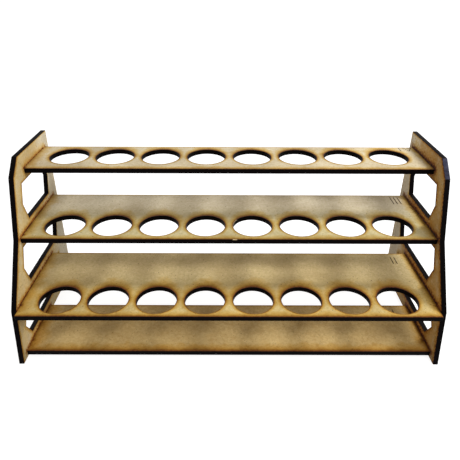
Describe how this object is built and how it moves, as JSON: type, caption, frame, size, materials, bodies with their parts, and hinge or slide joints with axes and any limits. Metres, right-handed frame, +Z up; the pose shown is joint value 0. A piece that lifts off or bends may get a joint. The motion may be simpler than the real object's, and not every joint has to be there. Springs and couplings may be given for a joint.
{
  "type": "paint bottle rack",
  "caption": "Tiered rack of laser-cut fibreboard for dropper bottles: stepped end panels with hexagonal windows carry shelves with rows of round holes above a plain base shelf.",
  "frame": {"origin": "centre of the footprint, on the surface that the rack stands on", "axes": "+X to the right seen from the front, along the shelves; +Y from the front to the back; +Z up"},
  "size_m": [0.2726, 0.101, 0.1243],
  "materials": {
    "fibreboard": "bare laser-cut medium-density fibreboard with charred cut edges"
  },
  "bodies": {
    "root": {"left_end_panel": "fibreboard", "right_end_panel": "fibreboard", "base_shelf": "fibreboard", "lower_shelf": "fibreboard", "upper_shelf": "fibreboard", "top_shelf": "fibreboard"}
  },
  "joints": []
}
